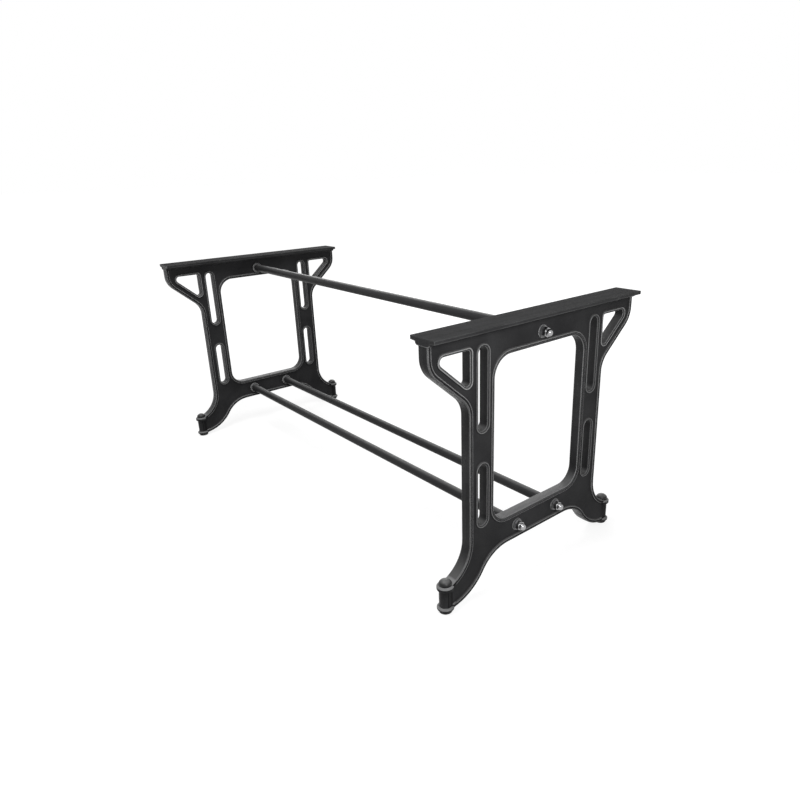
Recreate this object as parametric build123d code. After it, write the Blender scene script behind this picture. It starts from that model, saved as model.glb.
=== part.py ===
from build123d import *
import os
from math import atan2, cos, hypot, radians, sin, tan

# Table base of two cast iron end frames, tied together by three steel rods. Each frame stands in
# the YZ plane, X runs along the rods, Z is up and the origin is on the floor under the middle.

# Overall sizes
HEIGHT = 711.0
FRAME_SPACING = 1538.0
RAIL_LENGTH = 738.0
FOOT_SPREAD = 638.0
LEG_SPREAD = 498.0

# Section of the casting: a flat web between raised rims, drafted both ways from the parting plane
WEB = 24.0
RIM = 32.0
RIM_WIDTH = 12.5
SLOT_RIM_WIDTH = 9.0
EDGE_BEVEL = 2.0
EDGE_BEVEL_SLOPE = 45.0
OPENING_BEVEL = 3.0
OPENING_BEVEL_SLOPE = 60.0
DRAFT = 3.0
FLANK = 30.0

# Seat flange along the top of each frame
FLANGE_LENGTH = 739.0
FLANGE_WIDTH = 79.0
FLANGE_EDGE = 9.0
FLANGE_FALL = 1.5
FLANGE_FILLET = 8.0

# Outline of the frame, with its upper corners measured down from the seat
RAIL_END_DEPTH = 76.0
RAIL_END_RADIUS = 65.0
HAUNCH_DEPTH = 180.0
HAUNCH_RADIUS = 60.0
ANKLE_HEIGHT = 107.5
ANKLE_RADIUS = 95.0
FOOT_TOP = 77.0
FOOT_UNDERSIDE = 8.8
FOOT_UNDERSIDE_LENGTH = 15.9
ARCH_HEIGHT = 116.5
ARCH_SHOULDER = 168.0
ARCH_SHOULDER_RADIUS = 102.0
ARCH_SPRING = 236.0
ARCH_SPRING_HEIGHT = 21.8
ARCH_SPRING_RADIUS = 142.0

# Openings through the frame, with their tops measured down from the seat
WINDOW_WIDTH = 331.0
WINDOW_BOTTOM = 194.0
WINDOW_DEPTH = 82.5
WINDOW_TOP_RADIUS = 52.0
WINDOW_BOTTOM_RADIUS = 48.0
SLOT_SPREAD = 408.5
SLOT_WIDTH = 28.5
UPPER_SLOT_BOTTOM = 459.0
UPPER_SLOT_DEPTH = 49.0
LOWER_SLOT_BOTTOM = 205.5
LOWER_SLOT_TOP = 369.0
TRIANGLE_DEPTH = 49.0
TRIANGLE_SIDE_BAR = 26.5
TRIANGLE_SLOPE_BAR = 32.0
TRIANGLE_OUTER_RADIUS = 11.0
TRIANGLE_BOTTOM_RADIUS = 9.0
TRIANGLE_INNER_RADIUS = 6.0

# Foot post with its two beads
POST = 33.0
BEAD = 44.0
BEAD_BEVEL = 4.5
GLIDE_THICKNESS = 5.0
LOWER_BEAD_TOP = 18.0
UPPER_BEAD_BOTTOM = 63.0
UPPER_BEAD_TOP = 79.0

# Glide and foot bolt, drawn together through the post
GLIDE = 34.0
GLIDE_BEVEL = 1.0
GLIDE_SPIGOT = 19.0
GLIDE_SPIGOT_LENGTH = 20.0
FOOT_BOLT = 12.0
FOOT_BOLT_GRIP = 18.0
FOOT_BOLT_HEAD = 32.0
FOOT_BOLT_HEAD_RIM = 5.5
FOOT_BOLT_HEAD_HEIGHT = 14.5

# Tie rods with their bosses
ROD = 28.0
LOWER_ROD_SPACING = 153.0
ROD_THREAD = 14.0
ROD_SOCKET_DEPTH = 6.0
INNER_BOSS = 40.0
INNER_BOSS_REACH = 20.0
OUTER_BOSS = 34.0
OUTER_BOSS_REACH = 13.5
BOSS_BEVEL = 1.0

# Washers and cap nuts
WASHER = 30.0
WASHER_THICKNESS = 2.5
NUT_FLATS = 22.0
NUT_HEX_HEIGHT = 12.0
NUT_NECK_HEIGHT = 4.0
NUT_DOME = 18.0
NUT_CHAMFER_ANGLE = 30.0
NUT_CAP = 7.0

# Clearances
BOLT_CLEARANCE = 0.5
SOCKET_CLEARANCE = 0.3
SPOT_FACE_CLEARANCE = 1.0
SPOT_FACE_DEPTH = 6.0

# Worked out from the sizes above
half_spacing = FRAME_SPACING / 2
half_web = WEB / 2
half_rim = RIM / 2
post_y = FOOT_SPREAD / 2
leg_y = LEG_SPREAD / 2
slot_y = SLOT_SPREAD / 2
rail_end_bottom = HEIGHT - RAIL_END_DEPTH
haunch_bottom = HEIGHT - HAUNCH_DEPTH
window_top = HEIGHT - WINDOW_DEPTH
upper_slot_top = HEIGHT - UPPER_SLOT_DEPTH
triangle_top = HEIGHT - TRIANGLE_DEPTH
flange_underside = HEIGHT - FLANGE_EDGE - FLANGE_FALL
flange_root = flange_underside - FLANGE_FILLET
upper_rod_z = (window_top + flange_root) / 2
lower_rod_z = (ARCH_HEIGHT + WINDOW_BOTTOM) / 2
nut_seat = OUTER_BOSS_REACH + WASHER_THICKNESS
nut_height = NUT_HEX_HEIGHT + NUT_NECK_HEIGHT + NUT_DOME / 2
rod_tip = nut_seat + nut_height - NUT_CAP
rod_places = {
    "upper": (0.0, upper_rod_z),
    "lower_front": (-LOWER_ROD_SPACING / 2, lower_rod_z),
    "lower_back": (LOWER_ROD_SPACING / 2, lower_rod_z),
}


def rounded(corners):
    """Face inside the corners (y, z, radius), each corner rounded by its own radius."""
    points = [(y, z) for y, z, radius in corners]
    radii = [radius for y, z, radius in corners]
    return make_face(FilletPolyline(*points, radius=radii, close=True))


def both_sides(corners):
    """The corners of the back half, followed by the same corners on the front half."""
    return corners + [(-y, z, radius) for y, z, radius in reversed(corners)]


def mirrored_face(face):
    """The same face on the other side of the frame's centre line."""
    return mirror(face, Plane.YZ)


def layers(face, start, steps):
    """Solid on a face at X = start, grown along +X in steps of (height, inward taper)."""
    section = Plane.YZ.offset(start) * face
    parts = []
    for height, taper in steps:
        layer = extrude(section, height, taper=taper)
        parts.append(layer)
        section = layer.faces().sort_by(Axis.X)[-1]
    return parts[0].fuse(*parts[1:]) if len(parts) > 1 else parts[0]


def turned(profile):
    """Solid turned about the Z axis from a profile of (radius, z) points and arcs."""
    return revolve(Plane.XZ * make_face(profile), Axis.Z)


def along_x(solid, x, y, z):
    """A solid made along +Z, laid along +X with its base at the given place."""
    return Pos(x, y, z) * Rot(Y=90) * solid


def frame_outline():
    """Outline of the casting: rail ends, curved haunches, straight legs, feet and the arch."""
    return rounded(both_sides([
        (RAIL_LENGTH / 2, HEIGHT - FLANGE_EDGE / 2, 0),
        (RAIL_LENGTH / 2, rail_end_bottom, RAIL_END_RADIUS),
        (leg_y, haunch_bottom, HAUNCH_RADIUS),
        (leg_y, ANKLE_HEIGHT, ANKLE_RADIUS),
        (post_y, FOOT_TOP, 0),
        (post_y, FOOT_UNDERSIDE, 0),
        (post_y - FOOT_UNDERSIDE_LENGTH, FOOT_UNDERSIDE, 0),
        (ARCH_SPRING, ARCH_SPRING_HEIGHT, ARCH_SPRING_RADIUS),
        (ARCH_SHOULDER, ARCH_HEIGHT, ARCH_SHOULDER_RADIUS),
    ]))


def window_face():
    """The large window between the legs."""
    return rounded(both_sides([
        (WINDOW_WIDTH / 2, window_top, WINDOW_TOP_RADIUS),
        (WINDOW_WIDTH / 2, WINDOW_BOTTOM, WINDOW_BOTTOM_RADIUS),
    ]))


def slot_face(bottom, top):
    """One round-ended slot in the middle of a leg."""
    return Pos(slot_y, (bottom + top) / 2) * SlotOverall(top - bottom, SLOT_WIDTH, rotation=90)


def triangle_face():
    """Corner opening in the haunch, with its long side parallel to the haunch outside it."""
    rise = rail_end_bottom - haunch_bottom
    run = RAIL_LENGTH / 2 - leg_y
    lift = TRIANGLE_SLOPE_BAR * hypot(rise, run) / run
    inner = slot_y + SLOT_WIDTH / 2 + TRIANGLE_SIDE_BAR
    bottom = haunch_bottom + lift + (inner - leg_y) * rise / run
    outer = inner + (triangle_top - bottom) * run / rise
    return rounded([
        (inner, triangle_top, TRIANGLE_INNER_RADIUS),
        (inner, bottom, TRIANGLE_BOTTOM_RADIUS),
        (outer, triangle_top, TRIANGLE_OUTER_RADIUS),
    ])


def half_body():
    """Half of the casting on one side of its parting plane: web, rims and bevelled edges."""
    edge_start = half_rim - EDGE_BEVEL
    opening_edge_start = half_rim - OPENING_BEVEL
    relief = half_rim - half_web
    outline = frame_outline()
    leg_openings = [
        slot_face(UPPER_SLOT_BOTTOM, upper_slot_top),
        slot_face(LOWER_SLOT_BOTTOM, LOWER_SLOT_TOP),
        triangle_face(),
    ]
    openings = [(window_face(), RIM_WIDTH)]
    openings += [(face, SLOT_RIM_WIDTH) for face in leg_openings]
    openings += [(mirrored_face(face), SLOT_RIM_WIDTH) for face in leg_openings]

    body = layers(outline, 0, [(edge_start, DRAFT), (EDGE_BEVEL, EDGE_BEVEL_SLOPE)])
    pocket = layers(offset(outline, amount=-RIM_WIDTH), half_web, [(relief, -FLANK)])
    for face, rim_width in openings:
        pocket -= layers(offset(face, amount=rim_width), half_web, [(relief, FLANK)])
    body -= pocket
    for face, rim_width in openings:
        body -= layers(face, 0, [(opening_edge_start, -DRAFT), (OPENING_BEVEL, -OPENING_BEVEL_SLOPE)])
    return body


def flange():
    """Seat flange: a flat top with thin edges, falling to a round fillet against the web."""
    edge = FLANGE_WIDTH / 2
    edge_z = HEIGHT - FLANGE_EDGE
    fillet_edge = half_rim + FLANGE_FILLET
    with BuildSketch(Plane.XZ) as section:
        with BuildLine():
            Polyline((0, HEIGHT), (edge, HEIGHT), (edge, edge_z), (fillet_edge, flange_underside))
            RadiusArc((fillet_edge, flange_underside), (half_rim, flange_root), FLANGE_FILLET)
            Polyline((half_rim, flange_root), (0, flange_root), (0, HEIGHT))
        make_face()
        mirror(about=Plane.YZ)
    return extrude(section.sketch, FLANGE_LENGTH / 2, both=True)


def bead(bottom, top):
    """Points up the outside of one bead of the post, with a bevel at each edge."""
    return [
        (BEAD / 2 - BEAD_BEVEL, bottom),
        (BEAD / 2, bottom + BEAD_BEVEL),
        (BEAD / 2, top - BEAD_BEVEL),
        (BEAD / 2 - BEAD_BEVEL, top),
    ]


def post():
    """Foot post with a bevelled bead at each end."""
    return turned(Polyline(
        (0, GLIDE_THICKNESS),
        *bead(GLIDE_THICKNESS, LOWER_BEAD_TOP),
        (POST / 2, LOWER_BEAD_TOP),
        (POST / 2, UPPER_BEAD_BOTTOM),
        *bead(UPPER_BEAD_BOTTOM, UPPER_BEAD_TOP),
        (0, UPPER_BEAD_TOP),
        (0, GLIDE_THICKNESS),
    ))


def post_bore():
    """Bore clear of the bolt, wider below for the glide's spigot, with a spot face for the head."""
    spigot_top = GLIDE_THICKNESS + GLIDE_SPIGOT_LENGTH + BOLT_CLEARANCE
    bore = cylinder_z(FOOT_BOLT + BOLT_CLEARANCE, GLIDE_THICKNESS, UPPER_BEAD_TOP)
    bore += cylinder_z(GLIDE_SPIGOT + BOLT_CLEARANCE, GLIDE_THICKNESS, spigot_top)
    spot_face = FOOT_BOLT_HEAD + SPOT_FACE_CLEARANCE
    return bore + cylinder_z(spot_face, UPPER_BEAD_TOP, UPPER_BEAD_TOP + SPOT_FACE_DEPTH)


def cylinder_z(diameter, bottom, top):
    """Upright cylinder between two heights."""
    return Pos(0, 0, bottom) * extrude(Circle(diameter / 2), top - bottom)


def cylinder_x(diameter, start, end):
    """Cylinder along X between two places."""
    return along_x(extrude(Circle(diameter / 2), end - start), start, 0, 0)


def rod_bosses():
    """Boss on each face of the web round one tie rod, with bevelled ends."""
    bosses = cylinder_x(INNER_BOSS, -INNER_BOSS_REACH, 0)
    bosses += cylinder_x(OUTER_BOSS, 0, OUTER_BOSS_REACH)
    ends = bosses.edges().filter_by(GeomType.CIRCLE).sort_by(Axis.X)
    return chamfer([ends[0], ends[-1]], BOSS_BEVEL)


def rod_bore():
    """Hole for the rod's threaded end, with a socket for the rod's shoulder on the inner side."""
    hole = cylinder_x(ROD_THREAD + BOLT_CLEARANCE, -INNER_BOSS_REACH, OUTER_BOSS_REACH)
    socket_end = ROD_SOCKET_DEPTH - INNER_BOSS_REACH
    return hole + cylinder_x(ROD + SOCKET_CLEARANCE, -INNER_BOSS_REACH, socket_end)


def end_frame():
    """One end frame in its own place, with its outer side towards +X."""
    half = half_body()
    casting = half + mirror(half, Plane.YZ) + flange()
    for y in (-post_y, post_y):
        casting += Pos(0, y, 0) * post()
        casting -= Pos(0, y, 0) * post_bore()
    for y, z in rod_places.values():
        casting += Pos(0, y, z) * rod_bosses()
        casting -= Pos(0, y, z) * rod_bore()
    return casting


def glide():
    """Turned glide: a flat pad under the post, with a threaded spigot up its bore."""
    pad = cylinder_z(GLIDE, 0, GLIDE_THICKNESS)
    rims = pad.edges().filter_by(GeomType.CIRCLE)
    pad = chamfer(rims, GLIDE_BEVEL)
    top = GLIDE_THICKNESS + GLIDE_SPIGOT_LENGTH
    pad += cylinder_z(GLIDE_SPIGOT, GLIDE_THICKNESS, top)
    return pad - cylinder_z(FOOT_BOLT, top - FOOT_BOLT_GRIP, top)


def foot_bolt():
    """Bolt with a low domed head on the upper bead, its shank screwed into the glide."""
    shank_bottom = GLIDE_THICKNESS + GLIDE_SPIGOT_LENGTH - FOOT_BOLT_GRIP
    radius = FOOT_BOLT_HEAD / 2
    rim_top = UPPER_BEAD_TOP + FOOT_BOLT_HEAD_RIM
    crown = UPPER_BEAD_TOP + FOOT_BOLT_HEAD_HEIGHT
    dome_radius = (radius**2 + (crown - rim_top) ** 2) / (2 * (crown - rim_top))
    half_turn = atan2(radius, dome_radius - crown + rim_top) / 2
    middle = (dome_radius * sin(half_turn), crown - dome_radius * (1 - cos(half_turn)))
    profile = Polyline(
        (0, crown), (0, shank_bottom), (FOOT_BOLT / 2, shank_bottom), (FOOT_BOLT / 2, UPPER_BEAD_TOP),
        (radius, UPPER_BEAD_TOP), (radius, rim_top),
    )
    profile += ThreePointArc((radius, rim_top), middle, (0, crown))
    return turned(profile)


def tie_rod():
    """Round rod between the frames, stepped down to a threaded end on both sides."""
    shoulder = half_spacing - INNER_BOSS_REACH + ROD_SOCKET_DEPTH
    tip = half_spacing + rod_tip
    return cylinder_x(ROD, -shoulder, shoulder) + cylinder_x(ROD_THREAD, -tip, tip)


def washer():
    """Flat washer, made along +Z from its seat."""
    hole = cylinder_z(ROD_THREAD + BOLT_CLEARANCE, 0, WASHER_THICKNESS)
    return cylinder_z(WASHER, 0, WASHER_THICKNESS) - hole


def cap_nut():
    """Domed hexagon nut, made along +Z from its seat, with a blind bore for the rod's end."""
    flats = NUT_FLATS / 2
    corner = flats / cos(radians(30))
    slope = tan(radians(NUT_CHAMFER_ANGLE))
    hexagon = extrude(RegularPolygon(flats, 6, major_radius=False), NUT_HEX_HEIGHT)
    bevel = turned(Polyline(
        (0, 0), (flats, 0), (corner, (corner - flats) * slope),
        (corner, NUT_HEX_HEIGHT - (corner - flats) * slope), (flats, NUT_HEX_HEIGHT),
        (0, NUT_HEX_HEIGHT), (0, 0),
    ))
    radius = NUT_DOME / 2
    neck_top = NUT_HEX_HEIGHT + NUT_NECK_HEIGHT
    diagonal = radius * cos(radians(45))
    dome = turned(
        Polyline((0, nut_height), (0, 0), (radius, 0), (radius, neck_top))
        + ThreePointArc((radius, neck_top), (diagonal, neck_top + diagonal), (0, nut_height))
    )
    bore = cylinder_z(ROD_THREAD, 0, nut_height - NUT_CAP)
    return (hexagon & bevel) + dome - bore


def write(name, shape):
    """Write one sub-part to the parts folder."""
    export_step(shape, f"parts/{name}.step")


os.makedirs("parts", exist_ok=True)

frame_casting = end_frame()
washer_shape = washer()
nut_shape = cap_nut()
glide_shape = glide()
bolt_shape = foot_bolt()
for side, turn in (("left", 180), ("right", 0)):
    place = Rot(Z=turn) * Pos(half_spacing, 0, 0)
    write(f"end_frame_{side}", place * frame_casting)
    for end, y in (("front", -post_y), ("back", post_y)):
        flip = -1 if turn else 1
        spot = place * Pos(0, flip * y, 0)
        write(f"glide_{side}_{end}", spot * glide_shape)
        write(f"foot_bolt_{side}_{end}", spot * bolt_shape)
    for rod, (y, z) in rod_places.items():
        flip = -1 if turn else 1
        write(f"washer_{side}_{rod}", place * along_x(washer_shape, OUTER_BOSS_REACH, flip * y, z))
        write(f"cap_nut_{side}_{rod}", place * along_x(nut_shape, nut_seat, flip * y, z))
for rod, (y, z) in rod_places.items():
    write(f"tie_rod_{rod}", Pos(0, y, z) * tie_rod())
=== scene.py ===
from math import cos, radians, sin

import bpy
from mathutils import Matrix, Vector

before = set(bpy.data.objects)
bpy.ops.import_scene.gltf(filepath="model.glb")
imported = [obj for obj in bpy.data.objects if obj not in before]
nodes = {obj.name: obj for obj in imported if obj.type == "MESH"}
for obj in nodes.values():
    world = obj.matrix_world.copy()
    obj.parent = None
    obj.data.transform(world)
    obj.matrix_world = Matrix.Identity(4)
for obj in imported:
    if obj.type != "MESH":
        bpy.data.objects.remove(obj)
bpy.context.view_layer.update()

# The camera, a normal lens from the right-hand front corner, a little above the seat flanges.
# Its place and turn were fitted to the photograph: azimuth about Z, pitch down, and a slight roll.
camera_place = Vector((1.7677, -1.1819, 1.0486))
azimuth = radians(50.08)
pitch = radians(20.63)
roll = radians(-1.45)
across = Vector((cos(azimuth), sin(azimuth), 0.0))
ahead = Vector((-sin(azimuth) * cos(pitch), cos(azimuth) * cos(pitch), -sin(pitch)))
above = across.cross(ahead)
camera_right = across * cos(roll) + above * sin(roll)
camera_up = above * cos(roll) - across * sin(roll)
picture_width = 800.0
focal_pixels = 641.07
centre_pixel = (432.11, 404.45)
sensor_width = 36.0
far_limit = 100.0

camera_data = bpy.data.cameras.new("camera")
camera_data.sensor_width = sensor_width
camera_data.lens = focal_pixels * sensor_width / picture_width
camera_data.shift_x = 0.5 - centre_pixel[0] / picture_width
camera_data.shift_y = centre_pixel[1] / picture_width - 0.5
camera_data.clip_end = far_limit
camera = bpy.data.objects.new("camera", camera_data)
bpy.context.scene.collection.objects.link(camera)
camera_axes = Matrix((camera_right, camera_up, -ahead)).transposed()
camera.matrix_world = Matrix.Translation(camera_place) @ camera_axes.to_4x4()
bpy.context.scene.camera = camera
bpy.context.scene.view_settings.view_transform = "Standard"


# The studio: a wide floor in a white room. Both shed little light of their own, but the eye sees them
# white, and so does a gloss. The floor keeps the base's shadow, and glows a little less near the
# base, where the lamps fall on it. The three soft lamps stand above, in front and behind.
class Value:
    """One output of a finish's nodes. Sums, products and the like add Math nodes."""

    def __init__(self, finish, socket):
        self.finish = finish
        self.socket = socket

    def math(self, operation, *values):
        """A Math node on the given values, with its operation's name."""
        return self.finish.node("ShaderNodeMath", {"operation": operation}, dict(enumerate(values)))

    def __add__(self, other):
        return self.math("ADD", self, other)

    def __radd__(self, other):
        return self.math("ADD", other, self)

    def __sub__(self, other):
        return self.math("SUBTRACT", self, other)

    def __rsub__(self, other):
        return self.math("SUBTRACT", other, self)

    def __mul__(self, other):
        return self.math("MULTIPLY", self, other)

    def __rmul__(self, other):
        return self.math("MULTIPLY", other, self)

    def __abs__(self):
        return self.math("ABSOLUTE", self)

    def above(self, low, high):
        """0 below low, 1 above high, and a smooth rise between them."""
        settings = {"interpolation_type": "SMOOTHSTEP"}
        return self.finish.node("ShaderNodeMapRange", settings, {0: self, 1: low, 2: high})


class Finish:
    """The nodes of a material or of the room, with one method that adds any node."""

    def __init__(self, owner):
        self.owner = owner
        owner.use_nodes = True
        owner.node_tree.nodes.clear()

    def node(self, kind, settings=None, values=None, output=0):
        """Adds a node: its settings first, then the value or link of each named socket."""
        made = self.owner.node_tree.nodes.new(kind)
        for name, setting in (settings or {}).items():
            setattr(made, name, setting)
        for name, value in (values or {}).items():
            if isinstance(value, Value):
                self.owner.node_tree.links.new(value.socket, made.inputs[name])
            else:
                made.inputs[name].default_value = value
        return Value(self, made.outputs[output])

    def surface(self, shader, output="ShaderNodeOutputMaterial"):
        """Makes a shader the surface, and gives back what owns the nodes."""
        end = self.owner.node_tree.nodes.new(output)
        self.owner.node_tree.links.new(shader.socket, end.inputs["Surface"])
        return self.owner


def new_finish(name):
    """A new material, still without nodes."""
    return Finish(bpy.data.materials.new(name))


def lit_for_the_eye(finish):
    """1 for a ray from the camera, off a gloss or through glass, 0 for the light that is shed."""
    seen = finish.node("ShaderNodeLightPath", output="Is Camera Ray")
    for ray in ("Is Glossy Ray", "Is Transmission Ray"):
        seen = seen.math("MAXIMUM", seen, finish.node("ShaderNodeLightPath", output=ray))
    return seen


def place_on_piece(finish):
    """The point of the surface, in metres, in the piece's own frame."""
    return finish.node("ShaderNodeTexCoord", output="Object")


def mixed(finish, share, first, second):
    """A colour between two colours."""
    return finish.node("ShaderNodeMix", {"data_type": "RGBA"}, {0: share, 6: first, 7: second}, 2)


white = (1.0, 1.0, 1.0, 1.0)
floor_grey = (0.28, 0.28, 0.28, 1.0)
glow_near = (0.82, 0.82, 0.82, 1.0)
lamplit_radius = 1.1
unlit_radius = 2.6
floor_half = 40.0
floor_corners = [(x * floor_half, y * floor_half, 0.0) for x, y in ((-1, -1), (1, -1), (1, 1), (-1, 1))]
floor_mesh = bpy.data.meshes.new("floor")
floor_mesh.from_pydata(floor_corners, [], [(0, 1, 2, 3)])
floor = bpy.data.objects.new("floor", floor_mesh)
bpy.context.scene.collection.objects.link(floor)
pale = new_finish("pale_floor")
matt = pale.node("ShaderNodeBsdfDiffuse", {}, {"Color": floor_grey})
radius = pale.node("ShaderNodeVectorMath", {"operation": "LENGTH"}, {0: place_on_piece(pale)}, "Value")
glow = mixed(pale, radius.above(lamplit_radius, unlit_radius), glow_near, white)
glowing = pale.node("ShaderNodeEmission", {}, {"Color": glow, "Strength": lit_for_the_eye(pale)})
floor_mesh.materials.append(pale.surface(pale.node("ShaderNodeAddShader", {}, {0: matt, 1: glowing})))

room_light = 0.12
room_seen = 1.0
room = Finish(bpy.data.worlds.new("room"))
room_strength = lit_for_the_eye(room) * (room_seen - room_light) + room_light
backdrop = room.node("ShaderNodeBackground", {}, {"Color": white, "Strength": room_strength})
bpy.context.scene.world = room.surface(backdrop, "ShaderNodeOutputWorld")


def soft_lamp(name, place, target, width, height, power):
    """A flat soft lamp at a place, turned towards a target and hidden from the camera."""
    data = bpy.data.lights.new(name, "AREA")
    data.shape = "RECTANGLE"
    data.size = width
    data.size_y = height
    data.energy = power
    lamp = bpy.data.objects.new(name, data)
    bpy.context.scene.collection.objects.link(lamp)
    turn = (Vector(target) - Vector(place)).to_track_quat("-Z", "Y")
    lamp.matrix_world = Matrix.Translation(place) @ turn.to_matrix().to_4x4()
    lamp.visible_camera = False


soft_lamp(
    "overhead_lamp", place=(0.3, -0.9, 3.0), target=(0.1, 0.0, 0.3),
    width=1.6, height=1.6, power=62.0,
)
soft_lamp(
    "front_lamp", place=(1.75, -0.55, 1.1), target=(0.8, -0.15, 0.62),
    width=0.5, height=0.5, power=12.0,
)
soft_lamp(
    "back_lamp", place=(-2.3, 2.3, 1.9), target=(0.2, 0.0, 0.3),
    width=3.6, height=1.6, power=60.0,
)


# The two end frames: one-piece iron castings, sprayed in satin black. The sand of the mould leaves a
# dull grain and slow swells. The colour carries painted light: painted highlights on outward edges
# and on the bevels of the foot beads, painted light from above on what faces up, and painted shade in
# recesses and on the crests of the rims. The seats on top are dull.
frame_black = (0.021, 0.021, 0.022, 1.0)
frame_thin = (0.05, 0.05, 0.0515, 1.0)
# A painted highlight: the light grey of outward edges and of the foot beads' bevels.
painted_edge_highlight = (0.52, 0.52, 0.524, 1.0)
# Painted shade: the near-black of recesses and of the rims' crests.
painted_shade_black = (0.006, 0.006, 0.0063, 1.0)
# Painted light from above: the grey of what faces up, also used on the rods and foot bolts.
painted_top_light = (0.1, 0.1, 0.1005, 1.0)
seat_black = (0.01, 0.01, 0.0103, 1.0)

# Where the casting's parts lie, in metres, and how near to them their finish reaches.
frame_place = 0.769
web_half = 0.012
rim_half = 0.016
face_reach = 0.0006
seat_height = 0.711
seat_reach = 0.0012
flange_low = 0.69
flange_full = 0.7
post_inner = 0.294
post_full = 0.3
post_top = 0.1
post_clear = 0.12
slot_place = 0.204
slot_reach = 0.04
slots_low = 0.19
slots_full = 0.2

# The skin, in waves per metre and metres.
grain_scale = 420.0
grain_depth = 0.0007
swell_scale = 34.0
swell_depth = 0.0012
patch_scale = 11.0
edge_radius = 0.0014
bevel_samples = 6

# Thin patches, painted highlights, painted light from above and painted shade. The reaches are in
# metres, the slopes are the upward part of the normal, and the open and solid shares are what the
# short paths round a point find.
thin_patches = 0.6
thin_grain = 0.4
thin_from = 0.3
thin_full = 0.75
seat_patches = 0.5
top_light_slope = 0.2
top_light_full_slope = 0.9
top_light_share = 0.7
top_light_patches = 0.4
post_top_light_loss = 0.55
path_samples = 8
recess_reach = 0.035
recess_deep = 0.2
recess_open = 0.75
crest_shade_share = 0.75
hidden_most = 0.92
edge_reach = 0.003
edge_thin = 0.78
edge_solid = 0.95
edge_highlight_share = 0.5
edge_highlight_grain = 0.6
flange_highlight_loss = 0.9
top_slope = 0.3
top_full_slope = 0.9
top_highlight_loss = 0.6
slot_highlight_loss = 0.45
bead_slope = 0.7
bead_slope_reach = 0.3
bead_highlight_share = 0.33

# The gloss: a weak reflection, dull on the webs, the crests and the seats.
frame_gloss = 0.06
rim_roughness = 0.25
patch_roughness = 0.12
grain_roughness = 0.1
web_dulling = 0.35
seat_dulling = 0.6


def noise(finish, scale, detail=2.0, roughness=0.5):
    """Cloudy noise between 0 and 1, with a scale in waves per metre."""
    values = {"Vector": place_on_piece(finish), "Scale": scale, "Detail": detail, "Roughness": roughness}
    return finish.node("ShaderNodeTexNoise", {}, values, "Fac")


def swing(wave, width):
    """A wave between 0 and 1, made to swing about zero over a width."""
    return (wave - 0.5) * width


def near(value, middle, reach):
    """1 where a value is within half a reach of a middle value, and 0 past the reach."""
    return 1 - abs(value - middle).above(0.5 * reach, reach)


def axis_of(finish, vector, axis):
    """One of the three parts of a vector, by its letter."""
    return finish.node("ShaderNodeSeparateXYZ", {}, {"Vector": vector}, axis)


def bumped(finish, height, distance, normal):
    """The surface's normal with a height in it, whose full range is a distance in metres."""
    values = {"Height": height, "Distance": distance, "Strength": 1.0, "Normal": normal}
    return finish.node("ShaderNodeBump", {}, values)


def rounded_edges(finish, radius):
    """The normal of a surface whose sharp edges are rounded off."""
    return finish.node("ShaderNodeBevel", {"samples": bevel_samples}, {"Radius": radius})


def outward_edges(finish, reach):
    """1 near an outward edge, where short paths into the iron come out again, and 0 elsewhere."""
    settings = {"samples": path_samples, "inside": True, "only_local": True}
    solid_share = finish.node("ShaderNodeAmbientOcclusion", settings, {"Distance": reach}, "AO")
    return 1 - solid_share.above(edge_thin, edge_solid)


def recesses(finish, reach):
    """1 deep in a slot or corner, where the casting hides most of the room, and 0 in the open."""
    settings = {"samples": path_samples, "only_local": True}
    open_share = finish.node("ShaderNodeAmbientOcclusion", settings, {"Distance": reach}, "AO")
    return 1 - open_share.above(recess_deep, recess_open)


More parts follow.
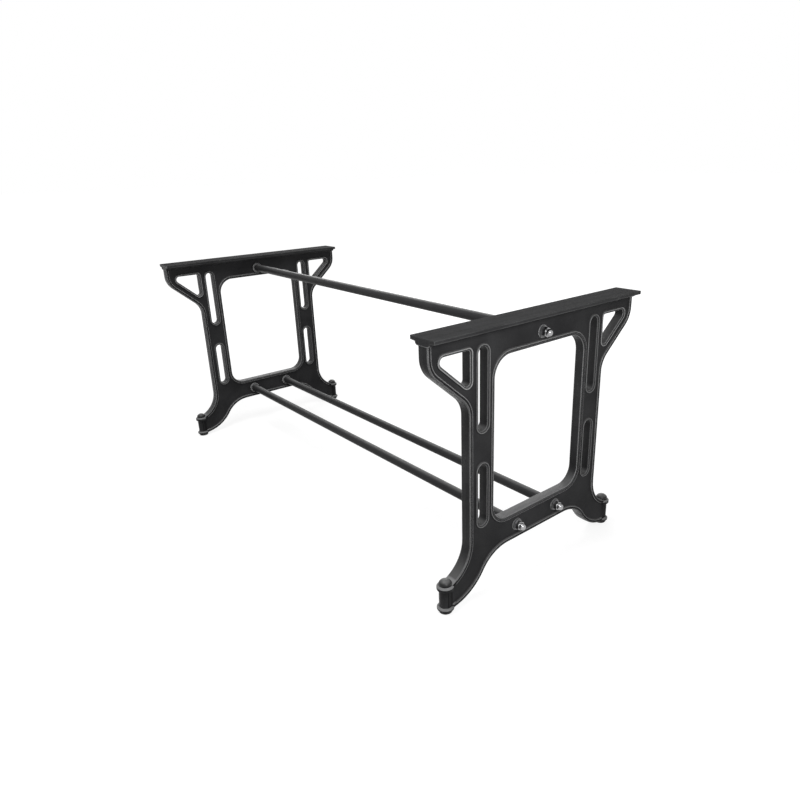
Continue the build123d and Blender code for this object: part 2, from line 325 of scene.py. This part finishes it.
def cast_paint():
    """Satin black paint over a sand-cast skin, dull on the webs, with painted highlights on the edges,
    painted light from above and painted shade in recesses.
    """
    finish = new_finish("cast_iron_painted_black")
    place = place_on_piece(finish)
    along_frame = abs(axis_of(finish, place, "Y"))
    height = axis_of(finish, place, "Z")
    off_middle = abs(abs(axis_of(finish, place, "X")) - frame_place)
    web = near(off_middle, web_half, face_reach)
    crest = near(off_middle, rim_half, face_reach)
    post = along_frame.above(post_inner, post_full) * (1 - height.above(post_top, post_clear))
    slots = near(along_frame, slot_place, slot_reach) * height.above(slots_low, slots_full)
    flange = height.above(flange_low, flange_full)
    seat = height.above(seat_height - seat_reach, seat_height - 0.5 * seat_reach)

    grain = noise(finish, grain_scale, detail=3.0, roughness=0.6)
    swell = noise(finish, swell_scale)
    patch = noise(finish, patch_scale, detail=3.0)
    rounded = rounded_edges(finish, edge_radius)
    upward = axis_of(finish, rounded, "Z")
    recess = recesses(finish, recess_reach)
    edge = outward_edges(finish, edge_reach)

    thin = (patch * thin_patches + grain * thin_grain).above(thin_from, thin_full)
    colour = mixed(finish, thin, frame_black, frame_thin)
    colour = mixed(finish, seat * (1 - patch * seat_patches), colour, seat_black)
    # Painted light from above: what faces up is lighter, less so on the foot posts and not on the
    # flange.
    top_light = upward.above(top_light_slope, top_light_full_slope) * (top_light_share + patch * top_light_patches)
    top_light = top_light * (1 - flange) * (1 - post * post_top_light_loss)
    colour = mixed(finish, top_light, colour, painted_top_light)
    # Painted shade: darker in recesses off the webs and on the crests of the rims.
    hidden = recess.math("MINIMUM", recess * (1 - web) + crest * crest_shade_share, hidden_most)
    colour = mixed(finish, hidden, colour, painted_shade_black)
    # Painted highlight along outward edges, weaker on the flange, in the slots and on tops, none on the
    # foot posts.
    edge_highlight = edge * (edge_highlight_share + grain * edge_highlight_grain)
    edge_highlight = edge_highlight * (1 - flange * flange_highlight_loss) * (1 - slots * slot_highlight_loss) * (1 - post)
    edge_highlight = edge_highlight * (1 - upward.above(top_slope, top_full_slope) * top_highlight_loss)
    colour = mixed(finish, edge_highlight, colour, painted_edge_highlight)
    # Painted highlight on the sloped bevels of the beads round the foot posts.
    bead_highlight = post * near(upward, bead_slope, bead_slope_reach)
    colour = mixed(finish, bead_highlight * bead_highlight_share, colour, painted_edge_highlight)

    rough = rim_roughness + swing(patch, patch_roughness) + swing(grain, grain_roughness)
    skin = bumped(finish, grain, grain_depth, bumped(finish, swell, swell_depth, rounded))
    values = {
        "Base Color": colour,
        "Roughness": rough + (web + crest) * web_dulling + seat * seat_dulling,
        "Normal": skin,
        "Specular IOR Level": frame_gloss,
    }
    return finish.surface(finish.node("ShaderNodeBsdfPrincipled", {}, values))


def dress(names, material):
    """Gives nodes a finish in place of the one that they came with."""
    for name in names:
        nodes[name].data.materials.clear()
        nodes[name].data.materials.append(material)


sides = ("left", "right")
dress([f"end_frame_{side}" for side in sides], cast_paint())


# The tie rods: drawn steel bars, painted black, smoother and glossier than the castings, with a
# painted highlight along the top. Their stepped ends go through the frames' bosses.
rod_black = (0.022, 0.022, 0.023, 1.0)
rod_worn = (0.04, 0.04, 0.041, 1.0)
rod_top_light_slope = 0.7
rod_top_light_share = 0.8
rod_gloss = 0.08
rod_roughness = 0.42
rod_cloud_scale = 25.0
rod_cloud_roughness = 0.14
drawn_scale = 900.0
drawn_stretch = (0.03, 1.0, 1.0)
drawn_depth = 0.00006
drawn_roughness = 0.06
rod_edge_radius = 0.0006


def facing_up(finish):
    """How far a surface faces up: 1 on a top, 0 on a side and -1 on an underside."""
    return axis_of(finish, finish.node("ShaderNodeNewGeometry", output="Normal"), "Z")


def rod_paint():
    """Black paint over drawn bar, with faint marks along the bar and a painted highlight along the top.
    """
    finish = new_finish("steel_rod_painted_black")
    along = {"Vector": place_on_piece(finish), "Scale": drawn_stretch}
    marks = {"Vector": finish.node("ShaderNodeMapping", {}, along), "Scale": drawn_scale, "Detail": 2.0}
    drawn = finish.node("ShaderNodeTexNoise", {}, marks, "Fac")
    cloud = noise(finish, rod_cloud_scale, detail=3.0)
    # Painted highlight along the tops of the rods.
    top_light = facing_up(finish).above(rod_top_light_slope, 1.0) * rod_top_light_share
    values = {
        "Base Color": mixed(finish, top_light, mixed(finish, cloud, rod_black, rod_worn), painted_top_light),
        "Roughness": rod_roughness + swing(cloud, rod_cloud_roughness) + swing(drawn, drawn_roughness),
        "Normal": bumped(finish, drawn, drawn_depth, rounded_edges(finish, rod_edge_radius)),
        "Specular IOR Level": rod_gloss,
    }
    return finish.surface(finish.node("ShaderNodeBsdfPrincipled", {}, values))


rods = ("upper", "lower_front", "lower_back")
dress([f"tie_rod_{rod}" for rod in rods], rod_paint())


# The washers and the domed cap nuts on the ends of the rods: stamped washers of bare steel, dulled by
# handling, and nuts plated with chrome that has a faint haze.
chrome_dark = (0.3, 0.3, 0.304, 1.0)
chrome_light = (0.4, 0.4, 0.405, 1.0)
chrome_roughness = 0.16
haze_roughness = 0.1
haze_scale = 300.0
haze_depth = 0.00002
nut_edge_radius = 0.0005
steel_dark = (0.12, 0.12, 0.122, 1.0)
steel_light = (0.2, 0.2, 0.203, 1.0)
steel_roughness = 0.32
dulled_roughness = 0.16
dulled_scale = 160.0
fine_scale = 1500.0
stamped_depth = 0.00003
washer_edge_radius = 0.0004


def bright_plating():
    """Chrome over steel, with a faint haze."""
    finish = new_finish("chrome_plated_steel")
    haze = noise(finish, haze_scale)
    values = {
        "Base Color": mixed(finish, haze, chrome_dark, chrome_light),
        "Roughness": chrome_roughness + haze * haze_roughness,
        "Metallic": 1.0,
        "Normal": bumped(finish, haze, haze_depth, rounded_edges(finish, nut_edge_radius)),
    }
    return finish.surface(finish.node("ShaderNodeBsdfPrincipled", {}, values))


def bare_steel():
    """Bare steel, dulled to a cloudy grey."""
    finish = new_finish("bare_steel")
    cloud = noise(finish, dulled_scale, detail=3.0)
    fine = noise(finish, fine_scale)
    values = {
        "Base Color": mixed(finish, cloud, steel_dark, steel_light),
        "Roughness": steel_roughness + cloud * dulled_roughness,
        "Metallic": 1.0,
        "Normal": bumped(finish, fine, stamped_depth, rounded_edges(finish, washer_edge_radius)),
    }
    return finish.surface(finish.node("ShaderNodeBsdfPrincipled", {}, values))


fastened = [f"{side}_{rod}" for side in sides for rod in rods]
dress([f"cap_nut_{end}" for end in fastened], bright_plating())
dress([f"washer_{end}" for end in fastened], bare_steel())


# The foot bolts and the glides: domed bolt heads on top of the foot posts and turned pads under
# them, painted black. Painted light from above greys their tops, and the glides are a little duller.
foot_black = (0.008, 0.008, 0.0083, 1.0)
foot_gloss = 0.25
foot_top_slope = 0.55
foot_top_full_slope = 0.95
foot_top_share = 0.5
foot_cloud_scale = 120.0
turned_depth = 0.00004
foot_edge_radius = 0.0006


def painted_steel(name, top_colour, rough_low, rough_high):
    """Black paint over turned steel, with fine turning grain, cloudy gloss and a top greyed by painted
    light.
    """
    finish = new_finish(name)
    cloud = noise(finish, foot_cloud_scale, detail=3.0)
    fine = noise(finish, fine_scale)
    # Painted light from above greys what faces up.
    top = facing_up(finish).above(foot_top_slope, foot_top_full_slope) * (foot_top_share + cloud)
    values = {
        "Base Color": mixed(finish, top, foot_black, top_colour),
        "Roughness": rough_low + cloud * (rough_high - rough_low),
        "Normal": bumped(finish, fine, turned_depth, rounded_edges(finish, foot_edge_radius)),
        "Specular IOR Level": foot_gloss,
    }
    return finish.surface(finish.node("ShaderNodeBsdfPrincipled", {}, values))


feet = [f"{side}_{end}" for side in sides for end in ("front", "back")]
# The grey on the tops of the bolts and of the glides is painted light from above.
bolt_paint = painted_steel("foot_bolt_black", painted_top_light, rough_low=0.3, rough_high=0.5)
glide_paint = painted_steel("glide_black", frame_thin, rough_low=0.4, rough_high=0.6)
dress([f"foot_bolt_{foot}" for foot in feet], bolt_paint)
dress([f"glide_{foot}" for foot in feet], glide_paint)
